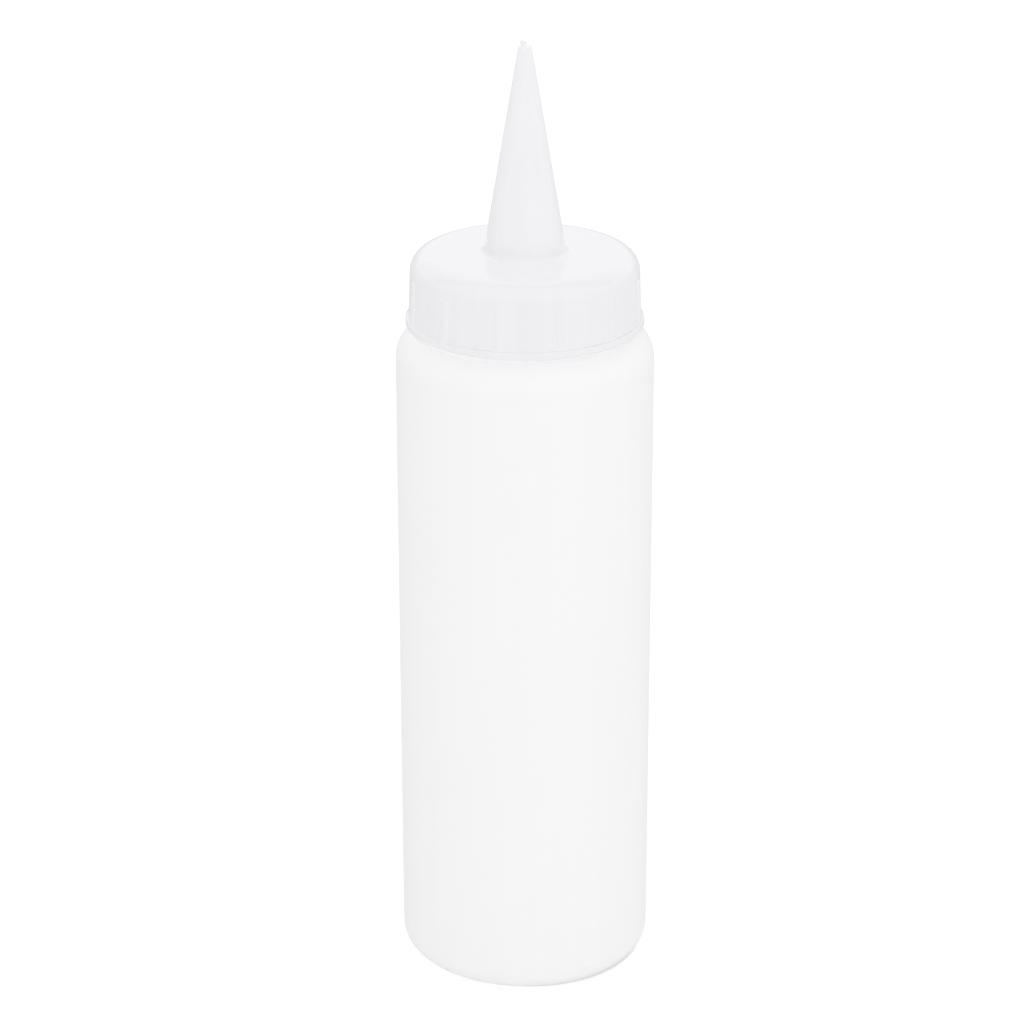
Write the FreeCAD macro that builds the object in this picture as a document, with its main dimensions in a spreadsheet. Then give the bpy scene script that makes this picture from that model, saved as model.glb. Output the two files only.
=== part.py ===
"""A squeeze bottle for sauces: a blow-moulded bottle and its moulded nozzle cap.

The bottle is a plain cylinder with a rounded shoulder, a wide neck and a base
that is pushed up inside its standing ring. The cap is one moulding: a skirt
with grip ribs and a rolled rim, a flat roof and a long hollow cone whose tip
is still closed, with the stub of its gate on top.

Frame: millimetres, +Z up, origin on the axis in the standing plane.
"""
import FreeCAD, Part
import math
import os
import Sketcher

# ---------------------------------------------------------------- driving sizes

SIZES = [
    # the bottle
    ("body_diameter", 57.0, "outside of the straight wall"),
    ("shoulder_height", 151.1, "standing plane to the level ledge round the neck"),
    ("shoulder_round", 7.4, "radius from the wall into the shoulder"),
    ("shoulder_sweep", 60.6, "degrees that this radius turns before the ledge"),
    ("base_round", 5.0, "radius from the wall into the standing ring"),
    ("bottle_wall", 0.9, "thickness of the blown wall"),
    ("standing_width", 2.0, "flat ring that the bottle stands on"),
    ("recess_depth", 2.0, "how far the base is pushed up"),
    ("recess_slope", 2.4, "run of the recess's slanting side"),
    ("recess_round", 1.3, "rounding of the recess's two edges"),
    ("seam_length", 30.0, "pinch-off ridge across the recess"),
    ("seam_width", 1.0, "width of that ridge"),
    ("seam_drop", 0.5, "how far that ridge stands out of the recess"),
    ("neck_diameter", 44.4, "outside of the neck, below its thread"),
    ("neck_height", 13.8, "ledge to the mouth"),
    ("neck_foot_round", 0.6, "radius from the ledge into the neck"),
    # how the cap sits on the neck
    ("rim_gap", 1.4, "cap's rim above the ledge"),
    ("thread_depth", 1.1, "room for the thread"),
    ("thread_clearance", 0.3, "thread's crest to the inside of the skirt"),
    ("seat_overlap", 0.7, "seat's reach inwards past the neck's bore"),
    ("cap_turn", 17.3, "degrees that the cap is screwed round"),
    # the cap
    ("skirt_wall", 1.4, "skirt's wall just under the roof"),
    ("skirt_flare", 0.57, "how much wider the skirt is at its rim"),
    ("rim_width", 0.65, "rim's reach past the skirt"),
    ("rim_depth", 1.75, "height of the rim"),
    ("rim_round", 0.5, "rounding of the rim's edges"),
    ("seat_depth", 2.4, "thick ring under the roof that meets the mouth"),
    ("roof_thickness", 1.4, "roof's own wall"),
    ("roof_round", 4.2, "radius from the skirt into the roof"),
    ("lead_in", 0.5, "bevel at the open end of the skirt"),
    # the grip ribs
    ("rib_count", 12, "ribs round the skirt"),
    ("rib_width", 2.4, "width of a rib where it meets the skirt"),
    ("rib_crest", 0.42, "height of a rib's rounded crest"),
    ("rib_root", 0.6, "rib's root inside the skirt's wall"),
    ("rib_setback", 0.9, "end of a rib below the start of the roof's rounding"),
    # the nozzle
    ("nozzle_base_diameter", 18.1, "cone where it meets the roof"),
    ("nozzle_tip_diameter", 2.8, "cone at its tip"),
    ("nozzle_length", 45.7, "roof to tip"),
    ("nozzle_wall", 1.3, "cone's wall at its foot"),
    ("nozzle_foot_round", 1.2, "radius from the roof into the cone"),
    ("tip_bore", 1.0, "channel's diameter just under the closed tip"),
    ("tip_thickness", 1.4, "plastic that closes the tip"),
    ("tip_round", 0.3, "rounding of the tip's edge"),
    # the stub that the mould's gate leaves on the tip
    ("gate_diameter", 1.1, "the stub's narrow neck"),
    ("gate_height", 0.35, "that neck above the tip"),
    ("gate_root", 0.8, "that neck's root inside the tip"),
    ("gate_offset", 0.35, "the stub's place off the axis"),
    ("nib_diameter", 1.5, "the stub's torn head"),
    ("nib_height", 0.55, "height of that head"),
    ("nib_tilt", 14.0, "degrees that the head leans over"),
]

doc = FreeCAD.newDocument("SqueezeBottle")
sheet = doc.addObject("Spreadsheet::Sheet", "Sizes")
for row, (alias, number, note) in enumerate(SIZES, start=1):
    sheet.set(f"A{row}", alias)
    sheet.set(f"B{row}", str(number))
    sheet.setAlias(f"B{row}", alias)
    sheet.set(f"C{row}", note)
doc.recompute()


class Size:
    """A dimension: the number a drawing starts from and the formula that binds it."""

    def __init__(self, number, formula):
        self.number = number
        self.formula = formula

    def joined(self, sign, other, number):
        return Size(number, f"({self.formula} {sign} {as_size(other).formula})")

    def __add__(self, other):
        return self.joined("+", other, self.number + as_size(other).number)

    def __sub__(self, other):
        return self.joined("-", other, self.number - as_size(other).number)

    def __mul__(self, other):
        return self.joined("*", other, self.number * as_size(other).number)

    def __truediv__(self, other):
        return self.joined("/", other, self.number / as_size(other).number)

    def __neg__(self):
        return Size(-self.number, f"(0 - {self.formula})")


def as_size(value):
    """A plain number counts as a size of its own."""
    return value if isinstance(value, Size) else Size(float(value), repr(value))


def cell(alias):
    """The size that the sheet holds under this alias."""
    return Size(float(sheet.get(alias)), f"Sizes.{alias}")


def sine(angle):
    """Sine of an angle in degrees, which is also the sheet's unit for angles."""
    return Size(math.sin(math.radians(angle.number)), f"sin({angle.formula})")


def cosine(angle):
    """Cosine of an angle in degrees."""
    return Size(math.cos(math.radians(angle.number)), f"cos({angle.formula})")


# --------------------------------------------------- places worked out from them

ON_AXIS = as_size(0)

body_radius = cell("body_diameter") / 2
shoulder_height = cell("shoulder_height")
recess_radius = body_radius - cell("base_round") - cell("standing_width")
ceiling_radius = recess_radius - cell("recess_slope")
neck_radius = cell("neck_diameter") / 2
bore_radius = neck_radius - cell("bottle_wall")
wall_top = shoulder_height - cell("shoulder_round") * sine(cell("shoulder_sweep"))
shoulder_centre = body_radius - cell("shoulder_round")
ledge_radius = shoulder_centre + cell("shoulder_round") * cosine(cell("shoulder_sweep"))
mouth_height = shoulder_height + cell("neck_height")

# the cap's own heights run from its rim
rim_height = shoulder_height + cell("rim_gap")
seat_height = cell("neck_height") - cell("rim_gap")
roof_under = seat_height + cell("seat_depth")
roof_top = roof_under + cell("roof_thickness")
seat_radius = bore_radius - cell("seat_overlap")
skirt_inside = neck_radius + cell("thread_depth") + cell("thread_clearance")
skirt_top_radius = skirt_inside + cell("skirt_wall")
rim_radius = skirt_top_radius + cell("skirt_flare") + cell("rim_width")
nozzle_radius = cell("nozzle_base_diameter") / 2
nozzle_top = roof_top + cell("nozzle_length")
channel_radius = nozzle_radius - cell("nozzle_wall")
channel_top = nozzle_top - cell("tip_thickness")
tip_radius = cell("nozzle_tip_diameter") / 2
rib_top = roof_top - cell("roof_round") - cell("rib_setback")


def skirt_radius(height):
    """Outside of the drafted skirt at a height above the rim."""
    return skirt_top_radius + cell("skirt_flare") * (as_size(1) - height / roof_top)


# ------------------------------------------------------------- drawing helpers

def origin_feature(body, role):
    """One of the body's own origin planes or axes."""
    return next(item for item in body.Origin.OriginFeatures if item.Role == role)


def new_sketch(body, name, role, lift=None):
    """A sketch on one of the body's origin planes, lifted along that plane's normal."""
    sketch = body.newObject("Sketcher::SketchObject", name)
    sketch.AttachmentSupport = [(origin_feature(body, role), "")]
    sketch.MapMode = "FlatFace"
    if lift is not None:
        sketch.setExpression("AttachmentOffset.Base.z", lift.formula)
    return sketch


def dimension(sketch, kind, size, name, *where):
    """A named driving dimension, bound to the sheet."""
    index = sketch.addConstraint(Sketcher.Constraint(kind, *where, size.number))
    sketch.renameConstraint(index, name)
    sketch.setExpression(f"Constraints.{name}", size.formula)


def add_line(sketch, start, end):
    """A straight edge between two points; returns its number in the sketch."""
    return sketch.addGeometry(Part.LineSegment(FreeCAD.Vector(*start), FreeCAD.Vector(*end)))


def add_arc(sketch, centre, radius, start, end):
    """Part of a circle between two angles; returns its number in the sketch."""
    circle = Part.Circle(FreeCAD.Vector(*centre), FreeCAD.Vector(0, 0, 1), radius.number)
    return sketch.addGeometry(Part.ArcOfCircle(circle, start, end))


def fix_start(sketch, edge, name, across, along):
    """Places an edge's start by its two distances from the sketch's origin."""
    origin, start, vertical_axis, horizontal_axis = (-1, 1), 1, -2, -1
    for kind, axis, size, letter in (
        ("DistanceX", vertical_axis, across, "x"),
        ("DistanceY", horizontal_axis, along, "y"),
    ):
        if size is ON_AXIS:
            join(sketch, "PointOnObject", edge, start, axis)
        else:
            dimension(sketch, kind, size, f"{name}_{letter}", *origin, edge, start)


def join(sketch, kind, *where):
    """A constraint that needs no dimension."""
    sketch.addConstraint(Sketcher.Constraint(kind, *where))


def draw_chain(sketch, corners, end):
    """Straight edges from corner to named corner and on to an end that stays free."""
    points = [(across.number, along.number) for _, across, along in corners] + [end]
    edges = [add_line(sketch, *pair) for pair in zip(points, points[1:])]
    for edge, following in zip(edges, edges[1:]):
        join(sketch, "Coincident", edge, 2, following, 1)
    for edge, (corner, across, along) in zip(edges, corners):
        fix_start(sketch, edge, corner, across, along)
    return edges


def draw_outline(body, name, corners, role="XZ_Plane", lift=None):
    """A closed outline of straight edges through named corners."""
    sketch = new_sketch(body, name, role, lift)
    _, across, along = corners[0]
    edges = draw_chain(sketch, corners, (across.number, along.number))
    join(sketch, "Coincident", edges[-1], 2, edges[0], 1)
    return sketch


def draw_circle(body, name, diameter, lift, offset):
    """A circle on a level plane, its centre on the X axis and off the body's axis."""
    sketch = new_sketch(body, name, "XY_Plane", lift)
    centre = FreeCAD.Vector(-offset.number, 0)
    sketch.addGeometry(Part.Circle(centre, FreeCAD.Vector(0, 0, 1), diameter.number / 2))
    join(sketch, "PointOnObject", 0, 3, -1)
    dimension(sketch, "DistanceX", offset, "offset", 0, 3, -1, 1)
    dimension(sketch, "Diameter", diameter, "diameter", 0)
    return sketch


def spin(body, name, sketch):
    """A full turn of an outline about the body's upright axis."""
    feature = body.newObject("PartDesign::Revolution", name)
    feature.Profile = sketch
    feature.ReferenceAxis = (sketch, ["V_Axis"])
    feature.Angle = 360
    return settle(feature)


def pad(body, name, sketch, length):
    """A straight extrusion upwards from a sketch."""
    feature = body.newObject("PartDesign::Pad", name)
    feature.Profile = sketch
    feature.setExpression("Length", length.formula)
    return settle(feature)


def settle(feature):
    """Recomputes, so that the next feature can read this one's faces and edges."""
    doc.recompute()
    return feature


def rings(feature, *places):
    """Names of the round edges at these (radius, height) places."""
    found = []
    for radius, height in places:
        names = [
            f"Edge{index}"
            for index, edge in enumerate(feature.Shape.Edges, start=1)
            if isinstance(edge.Curve, Part.Circle)
            and abs(edge.Curve.Radius - radius.number) < 1e-4
            and abs(edge.Curve.Center.z - height.number) < 1e-4
        ]
        if len(names) != 1:
            raise RuntimeError(f"{feature.Name}: {len(names)} rings of {radius.formula}")
        found += names
    return found


def dress(body, kind, name, radius, *places):
    """Rounds or bevels the round edges at these places."""
    base = body.Tip
    feature = body.newObject(f"PartDesign::{kind}", name)
    feature.Base = (base, rings(base, *places))
    feature.setExpression("Radius" if kind == "Fillet" else "Size", radius.formula)
    return settle(feature)


# ------------------------------------------------------------------ the bottle

def draw_base(sketch):
    """The pushed-up base and the wall; returns the edges at the two ends."""
    edges = draw_chain(sketch, [
        ("ceiling_centre", ON_AXIS, cell("recess_depth")),
        ("ceiling_edge", ceiling_radius, cell("recess_depth")),
        ("recess_edge", recess_radius, ON_AXIS),
        ("base_corner", body_radius, ON_AXIS),
    ], end=(body_radius.number, wall_top.number))
    ceiling, wall = edges[0], edges[-1]
    join(sketch, "Vertical", wall)
    return ceiling, wall


def neck_foot():
    """Height of the neck's foot, and whether the shoulder leaves it a level ledge.

    A neck too wide for the ledge rises straight out of the shoulder's arc.
    """
    if (ledge_radius - neck_radius).number > cell("neck_foot_round").number:
        return shoulder_height.number, True
    across = (neck_radius - shoulder_centre).number
    return wall_top.number + math.sqrt(cell("shoulder_round").number ** 2 - across ** 2), False


def draw_shoulder(sketch, wall):
    """The shoulder's arc and the ledge round the neck; returns the last edge."""
    foot_height, has_ledge = neck_foot()
    centre = (shoulder_centre.number, wall_top.number)
    end_x = (ledge_radius if has_ledge else neck_radius).number
    turn = math.atan2(foot_height - centre[1], end_x - centre[0])
    shoulder = add_arc(sketch, centre, cell("shoulder_round"), 0, turn)
    join(sketch, "Tangent", wall, 2, shoulder, 1)
    dimension(sketch, "Radius", cell("shoulder_round"), "shoulder", shoulder)
    dimension(sketch, "DistanceY", wall_top, "shoulder_start", -1, 1, shoulder, 3)
    if not has_ledge:
        return shoulder
    dimension(sketch, "DistanceY", shoulder_height, "ledge_y", -1, 1, shoulder, 2)
    ledge = add_line(sketch, (end_x, foot_height), (neck_radius.number, foot_height))
    join(sketch, "Coincident", shoulder, 2, ledge, 1)
    join(sketch, "Horizontal", ledge)
    return ledge


def draw_neck(sketch, before, ceiling):
    """The neck's side, the closed mouth and the axis back down to the base."""
    mouth_edge = (neck_radius.number, mouth_height.number)
    mouth_centre = (0, mouth_height.number)
    side = add_line(sketch, (neck_radius.number, neck_foot()[0]), mouth_edge)
    mouth = add_line(sketch, mouth_edge, mouth_centre)
    axis = add_line(sketch, mouth_centre, (0, cell("recess_depth").number))
    join(sketch, "Coincident", before, 2, side, 1)
    join(sketch, "Vertical", side)
    join(sketch, "Coincident", side, 2, mouth, 1)
    dimension(sketch, "DistanceX", neck_radius, "mouth_x", -1, 1, mouth, 1)
    dimension(sketch, "DistanceY", mouth_height, "mouth_y", -1, 1, mouth, 1)
    join(sketch, "Horizontal", mouth)
    join(sketch, "PointOnObject", mouth, 2, -2)
    join(sketch, "Coincident", mouth, 2, axis, 1)
    join(sketch, "Coincident", axis, 2, ceiling, 1)


def hollow_out(body):
    """Opens the closed form at its mouth and leaves a wall of even thickness."""
    closed = body.Tip
    mouth = next(
        f"Face{index}"
        for index, face in enumerate(closed.Shape.Faces, start=1)
        if abs(face.BoundBox.ZMin - mouth_height.number) < 1e-6
    )
    shell = body.newObject("PartDesign::Thickness", "Shell")
    shell.Base = (closed, [mouth])
    shell.setExpression("Value", "Sizes.bottle_wall")
    shell.Reversed = True
    settle(shell)


def add_seam(body):
    """The ridge under the base where the mould pinched the plastic tube shut."""
    half_length = cell("seam_length") / 2
    half_width = cell("seam_width") / 2
    ridge = draw_outline(body, "SeamOutline", [
        ("left_front", -half_length, -half_width),
        ("right_front", half_length, -half_width),
        ("right_back", half_length, half_width),
        ("left_back", -half_length, half_width),
    ], role="XY_Plane", lift=cell("recess_depth") - cell("seam_drop"))
    pad(body, "PinchOffSeam", ridge, cell("seam_drop") + cell("bottle_wall") / 2)


def build_bottle():
    """The closed outside, rounded where it turns, then hollowed through the mouth."""
    body = doc.addObject("PartDesign::Body", "bottle")
    outline = new_sketch(body, "BottleOutline", "XZ_Plane")
    ceiling, wall = draw_base(outline)
    draw_neck(outline, draw_shoulder(outline, wall), ceiling)
    spin(body, "Form", outline)

    foot_height, _ = neck_foot()
    dress(body, "Fillet", "BaseRound", cell("base_round"), (body_radius, ON_AXIS))
    dress(body, "Fillet", "RecessRound", cell("recess_round"),
          (recess_radius, ON_AXIS), (ceiling_radius, cell("recess_depth")))
    dress(body, "Fillet", "NeckFootRound", cell("neck_foot_round"),
          (neck_radius, as_size(foot_height)))
    hollow_out(body)
    add_seam(body)
    return body


# --------------------------------------------------------------------- the cap

def draw_rib_section(body, name, height):
    """A rib's section at one height: a root in the wall under a rounded crest."""
    outside = skirt_radius(height)
    half = cell("rib_width") / 2
    root = outside - cell("rib_root")
    crest = cell("rib_crest")
    crest_radius = (half * half + crest * crest) / (crest * 2)
    sketch = new_sketch(body, name, "XY_Plane", height)
    side_front, across_root, side_back = draw_chain(sketch, [
        ("front", outside, -half),
        ("root_front", root, -half),
        ("root_back", root, half),
    ], end=(outside.number, half.number))
    dimension(sketch, "DistanceX", outside, "back_x", -1, 1, side_back, 2)
    dimension(sketch, "DistanceY", half, "back_y", -1, 1, side_back, 2)
    spread = math.asin(half.number / crest_radius.number)
    centre = ((outside + crest - crest_radius).number, 0)
    arc = add_arc(sketch, centre, crest_radius, -spread, spread)
    join(sketch, "Coincident", side_front, 1, arc, 1)
    join(sketch, "Coincident", side_back, 2, arc, 2)
    dimension(sketch, "Radius", crest_radius, "crest", arc)
    return sketch


def add_ribs(body):
    """One grip rib that follows the skirt's draft, then its copies round the cap."""
    lower = draw_rib_section(body, "RibFoot", cell("rim_depth"))
    upper = draw_rib_section(body, "RibHead", rib_top)
    rib = body.newObject("PartDesign::AdditiveLoft", "Rib")
    rib.Profile = lower
    rib.Sections = [upper]
    rib.Ruled = True
    settle(rib)
    ribs = body.newObject("PartDesign::PolarPattern", "Ribs")
    ribs.Originals = [rib]
    ribs.Axis = (origin_feature(body, "Z_Axis"), [""])
    ribs.Angle = 360
    ribs.setExpression("Occurrences", "Sizes.rib_count")
    body.Tip = ribs
    return settle(ribs)


def add_gate_stub(body):
    """The narrow neck left by the gate, and its torn head that leans to one side."""
    gate = draw_circle(body, "GateCircle", cell("gate_diameter"),
                       nozzle_top - cell("gate_root"), cell("gate_offset"))
    pad(body, "Gate", gate, cell("gate_root") + cell("gate_height") + cell("nib_height") / 2)
    nib = draw_circle(body, "NibCircle", cell("nib_diameter"),
                      nozzle_top + cell("gate_height"), cell("gate_offset"))
    nib.setExpression("AttachmentOffset.Rotation.Axis.x", "0")
    nib.setExpression("AttachmentOffset.Rotation.Axis.y", "1")
    nib.setExpression("AttachmentOffset.Rotation.Axis.z", "0")
    nib.setExpression("AttachmentOffset.Rotation.Angle", "Sizes.nib_tilt")
    pad(body, "Nib", nib, cell("nib_height"))


def build_cap():
    """The whole wall as one turned section, then its roundings, ribs and stub."""
    body = doc.addObject("PartDesign::Body", "cap")
    rim_depth = cell("rim_depth")

    section = draw_outline(body, "CapSection", [
        ("rim_inside", skirt_inside, ON_AXIS),
        ("rim_bottom", rim_radius, ON_AXIS),
        ("rim_top", rim_radius, rim_depth),
        ("skirt_foot", skirt_radius(rim_depth), rim_depth),
        ("roof_corner", skirt_top_radius, roof_top),
        ("nozzle_foot", nozzle_radius, roof_top),
        ("tip_edge", tip_radius, nozzle_top),
        ("tip_centre", ON_AXIS, nozzle_top),
        ("channel_end", ON_AXIS, channel_top),
        ("channel_head", cell("tip_bore") / 2, channel_top),
        ("channel_foot", channel_radius, roof_under),
        ("seat_root", seat_radius, roof_under),
        ("seat_edge", seat_radius, seat_height),
        ("seat_corner", skirt_inside, seat_height),
    ])
    spin(body, "CapWall", section)
    dress(body, "Fillet", "RoofRound", cell("roof_round"), (skirt_top_radius, roof_top))
    dress(body, "Fillet", "NozzleFootRound", cell("nozzle_foot_round"),
          (nozzle_radius, roof_top), (channel_radius, roof_under))
    dress(body, "Fillet", "RimRound", cell("rim_round"),
          (rim_radius, ON_AXIS), (rim_radius, rim_depth))
    dress(body, "Fillet", "TipRound", cell("tip_round"), (tip_radius, nozzle_top))
    dress(body, "Chamfer", "LeadIn", cell("lead_in"), (skirt_inside, ON_AXIS))
    add_ribs(body)
    add_gate_stub(body)

    body.setExpression("Placement.Base.z", rim_height.formula)
    body.setExpression("Placement.Rotation.Angle", "Sizes.cap_turn")
    return body


# ---------------------------------------------------------------- check and write

bodies = [build_bottle(), build_cap()]
doc.recompute()

for item in doc.Objects:
    if "Invalid" in item.State or "Error" in item.State:
        raise RuntimeError(f"{item.Name} did not compute: {item.State}")

os.makedirs("parts", exist_ok=True)
for body in bodies:
    shape = body.Shape
    if shape.isNull() or not shape.isValid() or len(shape.Solids) != 1:
        raise RuntimeError(f"{body.Label} is not one valid solid")
    shape.exportStep(f"parts/{body.Label}.step")
    print(f"{body.Label}: {shape.Volume / 1000:.2f} cm3, "
          f"z {shape.BoundBox.ZMin:.2f} to {shape.BoundBox.ZMax:.2f}")
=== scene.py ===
# %% [markdown]
# # A squeeze bottle in milky polyethylene
#
# This lesson dresses two finished solids: a soft blow-moulded bottle and the
# ribbed cap that screws onto it. The solids come from a CAD frame. They are never
# moved or reshaped here. What Blender adds is the threads that hold the cap, the
# plastics, a quiet white studio and a camera.

# %% Load the frame
import math

import bmesh
import bpy
from mathutils import Matrix, Vector


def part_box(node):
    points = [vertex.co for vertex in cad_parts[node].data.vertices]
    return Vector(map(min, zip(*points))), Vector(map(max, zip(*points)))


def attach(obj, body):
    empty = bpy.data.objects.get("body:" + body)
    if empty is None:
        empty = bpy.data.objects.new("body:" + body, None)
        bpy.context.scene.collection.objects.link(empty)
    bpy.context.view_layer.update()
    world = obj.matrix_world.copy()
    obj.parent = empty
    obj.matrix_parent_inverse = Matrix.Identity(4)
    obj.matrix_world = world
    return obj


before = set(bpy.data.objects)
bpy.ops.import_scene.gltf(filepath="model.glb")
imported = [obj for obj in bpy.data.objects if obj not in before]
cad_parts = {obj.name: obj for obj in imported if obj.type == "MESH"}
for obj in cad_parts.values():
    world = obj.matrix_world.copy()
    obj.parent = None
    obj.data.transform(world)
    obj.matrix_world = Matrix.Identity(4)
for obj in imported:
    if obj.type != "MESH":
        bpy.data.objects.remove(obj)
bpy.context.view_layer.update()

MILLIMETRE = 0.001

# %% [markdown]
# ## The camera
#
# Product pictures of bottles are taken from far off with a long lens, a little
# from above, so the sides stay nearly parallel and the top of the cap shows. A
# closer camera with a short lens would give the same framing, but the bottle would
# shrink towards its foot. The small sideways shift centres the bottle's picture
# without turning the camera, which would tilt its upright sides.

# %% Camera
LOOK_DOWN = math.radians(21.953)

lens = bpy.data.cameras.new("camera")
lens.lens = 117.58
lens.sensor_width = 36.0
lens.shift_x = -0.0126
lens.clip_start = 0.01
lens.clip_end = 20.0
camera = bpy.data.objects.new("camera", lens)
camera.location = (0.0, -0.69697, 0.38839)
camera.rotation_euler = (math.radians(90.0) - LOOK_DOWN, 0.0, 0.0)
bpy.context.scene.collection.objects.link(camera)
bpy.context.scene.camera = camera
print("camera", round(camera.location.length, 3), "m from the foot of the bottle")

# %% [markdown]
# ## Writing materials as sums
#
# Shader nodes are small machines joined by wires, and a drawing of them is hard to
# read as text. Two small classes make it short. A `Value` is one output of a node,
# and adding, subtracting or multiplying values adds the Math nodes. A `Recipe` is
# one material or world: its `node` method makes any other node from its type, its
# settings and what its sockets hold. Writing out each node and each link would do
# the same in four times as many lines.

# %% Values that add their own Math nodes
class Value:
    """One output of a node. Arithmetic on it adds Math nodes."""

    def __init__(self, recipe, socket):
        self.recipe = recipe
        self.socket = socket

    def combine(self, operation, first, second):
        return self.recipe.node(
            "ShaderNodeMath", {"operation": operation}, {0: first, 1: second})

    def __add__(self, other):
        return self.combine("ADD", self, other)

    def __sub__(self, other):
        return self.combine("SUBTRACT", self, other)

    def __rsub__(self, other):
        return self.combine("SUBTRACT", other, self)

    def __mul__(self, other):
        return self.combine("MULTIPLY", self, other)

    __radd__ = __add__
    __rmul__ = __mul__


# %% A recipe for one material
class Recipe:
    """The node tree of one material or world."""

    def __init__(self, owner):
        self.owner = owner
        owner.use_nodes = True
        self.tree = owner.node_tree
        self.tree.nodes.clear()

    def node(self, kind, settings=None, sockets=None, output=0):
        """Makes a node, sets it up, fills or links its sockets and returns one output."""
        node = self.tree.nodes.new(kind)
        for name, setting in (settings or {}).items():
            setattr(node, name, setting)
        for name, content in (sockets or {}).items():
            if isinstance(content, Value):
                self.tree.links.new(content.socket, node.inputs[name])
            else:
                node.inputs[name].default_value = content
        return Value(self, node.outputs[output] if node.outputs else None)


# %% Steps, axes, greys and mixes
def slope(value, zero, one):
    """A soft step: 0 where the value is at zero, 1 where it is at one."""
    return value.recipe.node("ShaderNodeMapRange", {"interpolation_type": "SMOOTHSTEP"},
                             {0: value, 1: zero, 2: one})


def axes(place):
    """The x, y and z of a place or a direction."""
    first = place.recipe.node("ShaderNodeSeparateXYZ", {}, {0: place})
    return [Value(place.recipe, socket) for socket in first.socket.node.outputs]


def root(value):
    return value.combine("SQRT", value, 0.0)


def size_of(value):
    return value.combine("ABSOLUTE", value, 0.0)


def grey(level):
    return (level, level, level, 1.0)


def mix(factor, first, second):
    """A mix of two shaders."""
    return factor.recipe.node("ShaderNodeMixShader", {}, {0: factor, 1: first, 2: second})


print("a white is", grey(1.0))

# %% [markdown]
# ## The studio
#
# White things are shown on white by lighting them from all round, as in a
# tent of cloth. The world is that tent. It gives the object an even light, a little
# less from the side where the camera looks in. In glossy plastic the tent is
# mirrored white high up and grey low down, so that the outlines stand out from the
# white behind them. The seam where its back and its front meet overhead shows as a
# soft line along the edge of the cap. A bare white world would be simpler, but the
# outlines would melt into it, and a glossy edge and a dull one would look alike.

# %% The tent of light
TENT_LIGHT = 1.03
FRONT_LOSS = 0.10
TENT_MIRRORED = 1.05
LOW_MIRRORED = 0.73
SEAM_LOSS = 0.45
# Places in the tent, each as the y or the z of a direction of length 1.
BACK_ENDS, FRONT_BEGINS = 0.25, -0.45
LOW_ENDS, HIGH_BEGINS = 0.05, 0.25
SEAM_MIDDLE, SEAM_EDGE, SEAM_CORE = 0.18, 0.32, 0.08
SEAM_ENDS, OVERHEAD = 0.15, 0.50

world = Recipe(bpy.data.worlds.new("tent"))
_, backward, upward = axes(world.node("ShaderNodeTexCoord", output="Generated"))
cloth = TENT_LIGHT - slope(backward, BACK_ENDS, FRONT_BEGINS) * (TENT_LIGHT * FRONT_LOSS)
seam = slope(size_of(backward - SEAM_MIDDLE), SEAM_EDGE, SEAM_CORE)
seam = seam * slope(upward, SEAM_ENDS, OVERHEAD)
high = slope(upward, LOW_ENDS, HIGH_BEGINS)
mirrored = LOW_MIRRORED + high * (TENT_MIRRORED - LOW_MIRRORED) - seam * SEAM_LOSS
in_mirrors = world.node("ShaderNodeLightPath", output="Is Glossy Ray")
strength = cloth + (mirrored - cloth) * in_mirrors
background = world.node("ShaderNodeBackground", {},
                        {"Color": (1.0, 1.0, 1.008, 1.0), "Strength": strength})
world.node("ShaderNodeOutputWorld", {}, {"Surface": background})
bpy.context.scene.world = world.owner
bpy.context.scene.view_settings.view_transform = "Standard"
print("tent light", TENT_LIGHT, "and in mirrors", LOW_MIRRORED, "to", TENT_MIRRORED)

# %% [markdown]
# ## The floor
#
# The floor is one large sheet of white paper. White paper in such light renders a
# little grey, so what the camera sees of it is mixed with a white of its own. More
# light would also turn the paper white, but it would burn out the bottle. The rest
# of the mix keeps the shadow round the bottle. Glossy plastic mirrors the paper as
# grey as it mirrors the low part of the tent. Right under the foot hardly any light
# gets in, so a shadow is painted there: a spot of grey on the paper, shifted to
# the right, where the lamp behind the bottle throws its shadow, and a sliver of this
# painted shadow shows on the right.

# %% A sheet on the ground
FLOOR_HALF = 3.0

floor_shape = bmesh.new()
bmesh.ops.create_grid(floor_shape, x_segments=1, y_segments=1, size=FLOOR_HALF)
floor_mesh = bpy.data.meshes.new("floor")
floor_shape.to_mesh(floor_mesh)
floor_shape.free()
floor = bpy.data.objects.new("floor", floor_mesh)
bpy.context.scene.collection.objects.link(floor)
print("floor", 2 * FLOOR_HALF, "m across")

# %% White paper
# The first grey is the paper; the second is the grey of the painted shadow under the foot.
PAPER, PAINTED_SHADOW_GREY = 0.92, 0.82
OWN_SHARE, OWN_LIGHT = 0.50, 1.16
SPOT_RADIUS = 25.4 * MILLIMETRE
SPOT_EDGE = 0.3 * MILLIMETRE
SPOT_RIGHT, SPOT_BACK = 1.5 * MILLIMETRE, 0.4 * MILLIMETRE

paper = Recipe(bpy.data.materials.new("white_paper"))
lit = paper.node("ShaderNodeBsdfDiffuse", {}, {"Color": grey(PAPER)})
own = paper.node("ShaderNodeEmission", {}, {"Color": grey(1.0), "Strength": OWN_LIGHT})
seen = paper.node("ShaderNodeLightPath", output="Is Camera Ray")
sheet = mix(seen * OWN_SHARE, lit, own)

low = paper.node("ShaderNodeEmission", {}, {"Color": grey(1.0), "Strength": LOW_MIRRORED})
in_mirrors = paper.node("ShaderNodeLightPath", output="Is Glossy Ray")
sheet = mix(in_mirrors, sheet, low)

# Painted shadow: a round grey spot under the foot, shifted a little right and back, mixed in
# over the paper.
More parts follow.
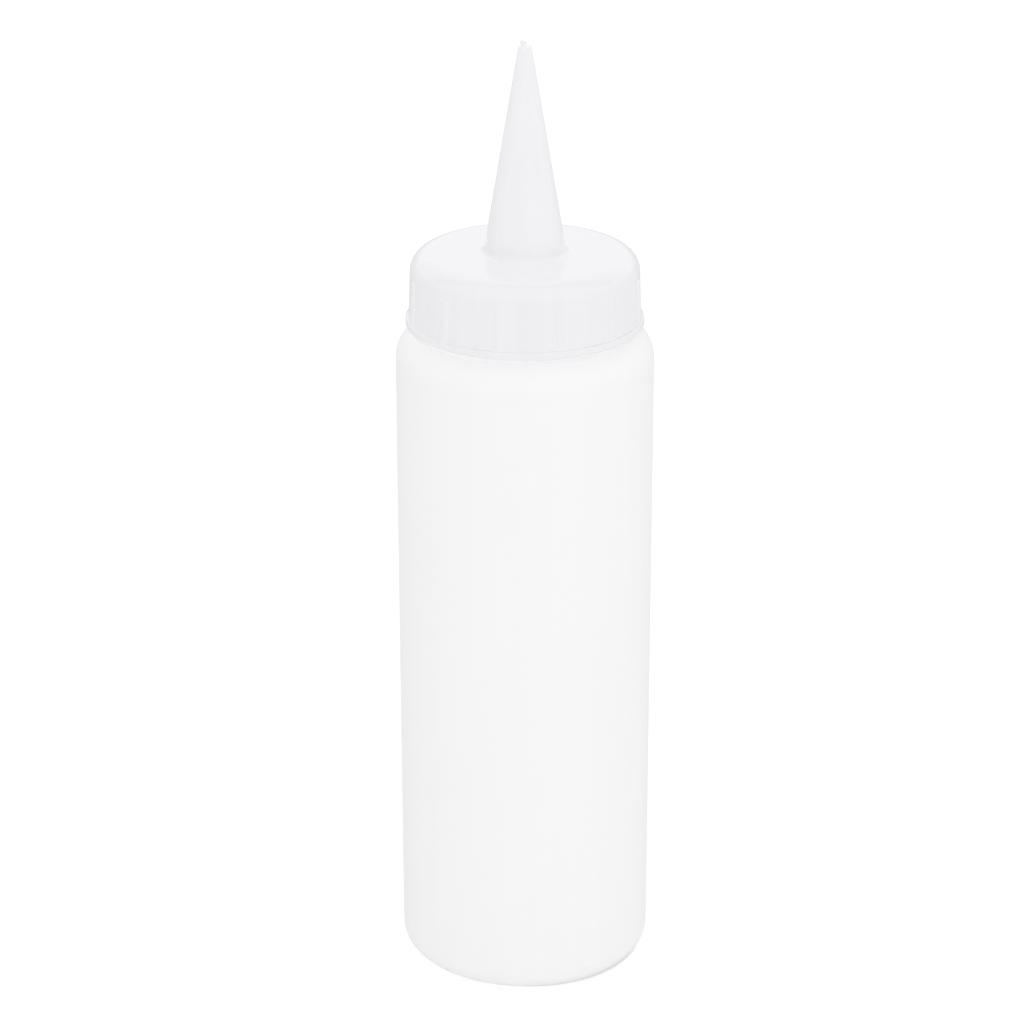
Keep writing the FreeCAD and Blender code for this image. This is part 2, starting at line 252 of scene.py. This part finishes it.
x, y, _ = axes(paper.node("ShaderNodeTexCoord", output="Object"))
right, back = x - SPOT_RIGHT, y - SPOT_BACK
painted_shadow_spot = slope(root(right * right + back * back), SPOT_RADIUS + SPOT_EDGE, SPOT_RADIUS - SPOT_EDGE)
painted_shadow = paper.node("ShaderNodeBsdfDiffuse", {}, {"Color": grey(PAINTED_SHADOW_GREY)})
sheet = mix(painted_shadow_spot, sheet, painted_shadow)
paper.node("ShaderNodeOutputMaterial", {}, {"Surface": sheet})
floor_mesh.materials.append(paper.owner)
print("paper with a darker spot of", round(SPOT_RADIUS / MILLIMETRE, 1), "mm under the foot")

# %% [markdown]
# ## Lamps
#
# Two soft boxes shape the bottle a little. A low one in front, somewhat to the
# right, makes the middle of the round body brighter than its sides, and the right
# side a touch brighter than the left. One high up behind lights the flat roof of
# the cap. They are kept out of mirror reflections, which a studio does with a
# polarising filter, so the shine on the cap is that of the tent alone. One bare
# lamp would show the shape more strongly, with shadows that this light avoids.

# %% Soft boxes
AIM = Vector((0.0, 0.0, 0.1))


def soft_box(name, place, size, power, colour):
    """A rectangle of lit cloth that faces the middle of the bottle."""
    lamp = bpy.data.lights.new(name, "AREA")
    lamp.shape = "RECTANGLE"
    lamp.size, lamp.size_y = size
    lamp.energy = power
    lamp.color = colour
    box = bpy.data.objects.new(name, lamp)
    direction = AIM - Vector(place)
    box.rotation_euler = direction.to_track_quat("-Z", "Y").to_euler()
    box.location = place
    box.visible_glossy = False
    bpy.context.scene.collection.objects.link(box)
    print(name, power, "W from", round(direction.length, 2), "m")


soft_box("front_box", (0.33, -1.25, 0.30), (0.6, 0.4), 1.3, (1.0, 1.0, 0.985))
soft_box("back_box", (-0.10, 0.7, 1.2), (0.6, 0.6), 0.6, (1.0, 1.0, 1.0))

# %% [markdown]
# ## How light goes through milky plastic
#
# Polyethylene looks milky because light goes into the wall, is scattered there and
# comes out on the other side. So the inside of such a bottle is bright, and a
# narrow gap under its cap isn't dark. Subsurface scattering traces that light, but
# through many thin walls it takes hundreds of samples to settle. Here a ray that
# only carries light passes most walls as if they weren't there, and a ray from the
# camera or from a mirror reflection always stops at the first one.

# %% Plastic that lets light rays pass
REFRACTION = 1.51


def finish_plastic(recipe, colour, dullness, relief, passed):
    """Ends a material. relief is in mm, passed is the share of light rays let through."""
    bump = recipe.node("ShaderNodeBump", {}, {
        "Height": relief * MILLIMETRE, "Distance": 1.0, "Strength": 1.0})
    wall = recipe.node("ShaderNodeBsdfPrincipled", {}, {
        "Base Color": colour, "Roughness": dullness, "IOR": REFRACTION, "Normal": bump})
    shadow_ray = recipe.node("ShaderNodeLightPath", output="Is Shadow Ray")
    diffuse_ray = recipe.node("ShaderNodeLightPath", output="Is Diffuse Ray")
    nothing = recipe.node("ShaderNodeBsdfTransparent", {}, {"Color": grey(1.0)})
    ended = mix((shadow_ray + diffuse_ray) * passed, wall, nothing)
    recipe.node("ShaderNodeOutputMaterial", {}, {"Surface": ended})
    print(recipe.owner.name, "lets", passed, "of the light rays through")


# %% Helpers for patterns
def noise(place, stretch, detail):
    """Noise with so many lumps to a metre along x, y and z."""
    recipe = place.recipe
    stretched = recipe.node("ShaderNodeMapping", {}, {"Vector": place, "Scale": stretch})
    return recipe.node(
        "ShaderNodeTexNoise", {}, {"Vector": stretched, "Scale": 1.0, "Detail": detail})


def blend(factor, first, second):
    """A mix of two colours."""
    return factor.recipe.node("ShaderNodeMix", {"data_type": "RGBA"},
                              {0: factor, 6: first, 7: second}, output=2)


# %% [markdown]
# ## The bottle's plastic
#
# The bottle is blown: a hot tube hangs between two halves of a mould, which shut on
# it, and air presses it against them. Three marks tell. Faint streaks run down the
# wall where the tube was drawn out of its die. A fine ridge stands on both sides
# where the halves met. And the skin is dull, because the mould is sand-blasted so
# that air can escape. The streaks are noise stretched along the height, the skin is
# fine noise that feeds a bump, and the ridge is a narrow band where y is near zero.
# A painted texture would hold all three, but only at one size.

# %% Milky polyethylene
RIDGE_FOOT, RIDGE_CREST = 0.20 * MILLIMETRE, 0.05 * MILLIMETRE
MILKY_DIM, MILKY_BRIGHT = (0.925, 0.923, 0.918, 1.0), (0.934, 0.932, 0.927, 1.0)

milky = Recipe(bpy.data.materials.new("milky_polyethylene"))
place = milky.node("ShaderNodeTexCoord", output="Object")
_, y, _ = axes(place)
ridge = slope(size_of(y), RIDGE_FOOT, RIDGE_CREST)
streaks = noise(place, (210.0, 210.0, 7.0), 3.0)
clouds = noise(place, (38.0, 38.0, 22.0), 2.0)
skin = noise(place, (2600.0, 2600.0, 2600.0), 3.0)

finish_plastic(
    milky,
    colour=blend(slope(streaks * 0.65 + clouds * 0.35, 0.32, 0.68), MILKY_DIM, MILKY_BRIGHT),
    dullness=0.36 + skin * 0.10 + streaks * 0.06 - ridge * 0.12,
    relief=skin * 0.012 + streaks * 0.010 + ridge * 0.06,
    passed=0.82)

# %% [markdown]
# ## The cap's plastic
#
# The cap is injection-moulded from a softer polyethylene, in a polished mould. It is
# glossier and a little bluer than the bottle. The plastic runs in at the tip of the
# nozzle, flows down the cone, spreads over the roof and turns down into the skirt,
# so its faint flow marks run down everywhere except on the roof. The long cone has
# light on both of its sides, and that light is painted into its colour as a painted
# highlight: the cone is coloured a little brighter. The mould was turned on a
# lathe, which leaves rings that only show as a fine break in the shine. Stretched
# noise makes the flow marks, and a wave over height and radius the rings.

# %% Frosted polyethylene
RING_PITCH = 0.45 * MILLIMETRE
CONE_LENGTH = 46.0 * MILLIMETRE
CONE_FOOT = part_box("cap")[1].z - CONE_LENGTH
CONE_BLEND = 4.0 * MILLIMETRE
FROSTED_DIM, FROSTED_BRIGHT = (0.853, 0.853, 0.867, 1.0), (0.899, 0.899, 0.911, 1.0)

frosted = Recipe(bpy.data.materials.new("frosted_polyethylene"))
place = frosted.node("ShaderNodeTexCoord", output="Object")
x, y, z = axes(place)
along = z + root(x * x + y * y)
rings = along.combine("SINE", along * (math.tau / RING_PITCH), 0.0)
flow = noise(place, (330.0, 330.0, 11.0), 2.0)
haze = noise(place, (900.0, 900.0, 900.0), 2.0)
# Painted highlight: above its foot the cone's colour is made lighter, standing in for the light
# it gets on both sides.
cone_painted_light = slope(z, CONE_FOOT, CONE_FOOT + CONE_BLEND)

finish_plastic(
    frosted,
    colour=blend(slope(flow, 0.30, 0.70) * 0.30 + cone_painted_light * 0.60, FROSTED_DIM, FROSTED_BRIGHT),
    dullness=0.050 + haze * 0.05,
    relief=haze * 0.002 + flow * 0.003 + rings * 0.0002,
    passed=1.0)

# %% The solids get their plastics
for node, recipe in (("bottle", milky), ("cap", frosted)):
    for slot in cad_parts[node].material_slots:
        slot.material = recipe.owner
    print(node, "is", recipe.owner.name)

# %% [markdown]
# ## The threads
#
# The cap screws onto a raised thread on the bottle's neck, and carries one like it
# inside its skirt. A squeeze bottle has a coarse thread of about one and a half
# turns, with a flat crest and slanted sides so that the mould can let go of it. The
# profile is drawn once and spun round the axis while it climbs. At both ends the
# thread sinks into the wall over an eighth of a turn. A curve with a bevel would be
# quicker, but its profile turns as it climbs.

# %% Measures of the thread
PITCH = 4.2 * MILLIMETRE
TURNS = 1.5
FOOT_HALF, CREST_HALF = 0.9 * MILLIMETRE, 0.4 * MILLIMETRE
STEPS_A_TURN = 96
RUN_OUT = 0.125
SUNK_AT_END = 0.9
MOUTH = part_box("bottle")[1].z
print("mouth of the bottle at", round(MOUTH, 4), "m")


# %% Ends that sink into the wall
def sink_ends(shape, wall, corners):
    """Moves the corners of a thread's first and last profiles towards its wall."""
    shape.verts.index_update()
    shape.verts.ensure_lookup_table()
    for corner in shape.verts:
        gone = corner.index // corners / STEPS_A_TURN
        sunk = max(0.0, 1.0 - min(gone, TURNS - gone) / RUN_OUT)
        out = math.hypot(corner.co.x, corner.co.y)
        scale = (out + (wall - out) * SUNK_AT_END * sunk) / out
        corner.co.x *= scale
        corner.co.y *= scale


# %% An order that is the same each time
def corner_place(corner):
    return corner.co.z


def face_place(face):
    middle = face.calc_center_median()
    return middle.z + math.hypot(middle.x, middle.y)


def settle_order(shape):
    """Sorts corners and faces by place, because a spin leaves their order to chance."""
    shape.verts.sort(key=corner_place)
    shape.faces.sort(key=face_place)


# %% A thread from its profile
def thread(name, wall, crest, start, turn):
    """A thread that stands on a round wall, from the wall's radius to the crest's."""
    shape = bmesh.new()
    corners = [shape.verts.new((radius, 0.0, start + height)) for radius, height in (
        (wall, -FOOT_HALF), (crest, -CREST_HALF), (crest, CREST_HALF), (wall, FOOT_HALF))]
    profile = shape.faces.new(corners)
    bmesh.ops.rotate(shape, verts=shape.verts, cent=(0, 0, 0),
                     matrix=Matrix.Rotation(turn, 3, "Z"))
    outline = list(profile.verts) + list(profile.edges)
    bmesh.ops.delete(shape, geom=[profile], context="FACES_ONLY")
    steps = round(TURNS * STEPS_A_TURN)
    bmesh.ops.spin(shape, geom=outline, cent=(0, 0, 0), axis=(0, 0, 1), angle=TURNS * math.tau,
                   dvec=(0, 0, PITCH * TURNS / steps), steps=steps,
                   use_merge=False, use_duplicate=False)
    sink_ends(shape, wall, len(corners))
    open_ends = [edge for edge in shape.edges if edge.is_boundary]
    bmesh.ops.holes_fill(shape, edges=open_ends, sides=len(corners))
    bmesh.ops.recalc_face_normals(shape, faces=shape.faces)
    settle_order(shape)
    mesh = bpy.data.meshes.new(name)
    shape.to_mesh(mesh)
    shape.free()
    piece = bpy.data.objects.new(name, mesh)
    bpy.context.scene.collection.objects.link(piece)
    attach(piece, "root")
    print(name, len(mesh.polygons), "faces")
    return piece


# %% [markdown]
# ## Two threads that pass each other
#
# The cap's thread lies half a pitch above the neck's, between its turns, as when the
# cap is screwed home. It is moved down along its own climb, so it turns back by the
# same share of a pitch. Both feet reach a little into their walls, so no gap shows.

# %% The two threads
NECK_WALL, NECK_CREST = 22.0 * MILLIMETRE, 23.25 * MILLIMETRE
CAP_WALL, CAP_CREST = 23.8 * MILLIMETRE, 22.55 * MILLIMETRE
NECK_START, NECK_TURN = MOUTH - 9.3 * MILLIMETRE, 0.6
MOVED_DOWN = 1.1 * MILLIMETRE
CAP_START = NECK_START + PITCH / 2 - MOVED_DOWN
CAP_TURN = NECK_TURN - MOVED_DOWN / PITCH * math.tau

neck_thread = thread("neck_thread", NECK_WALL, NECK_CREST, NECK_START, NECK_TURN)
cap_thread = thread("cap_thread", CAP_WALL, CAP_CREST, CAP_START, CAP_TURN)
neck_thread.data.materials.append(milky.owner)
cap_thread.data.materials.append(frosted.owner)
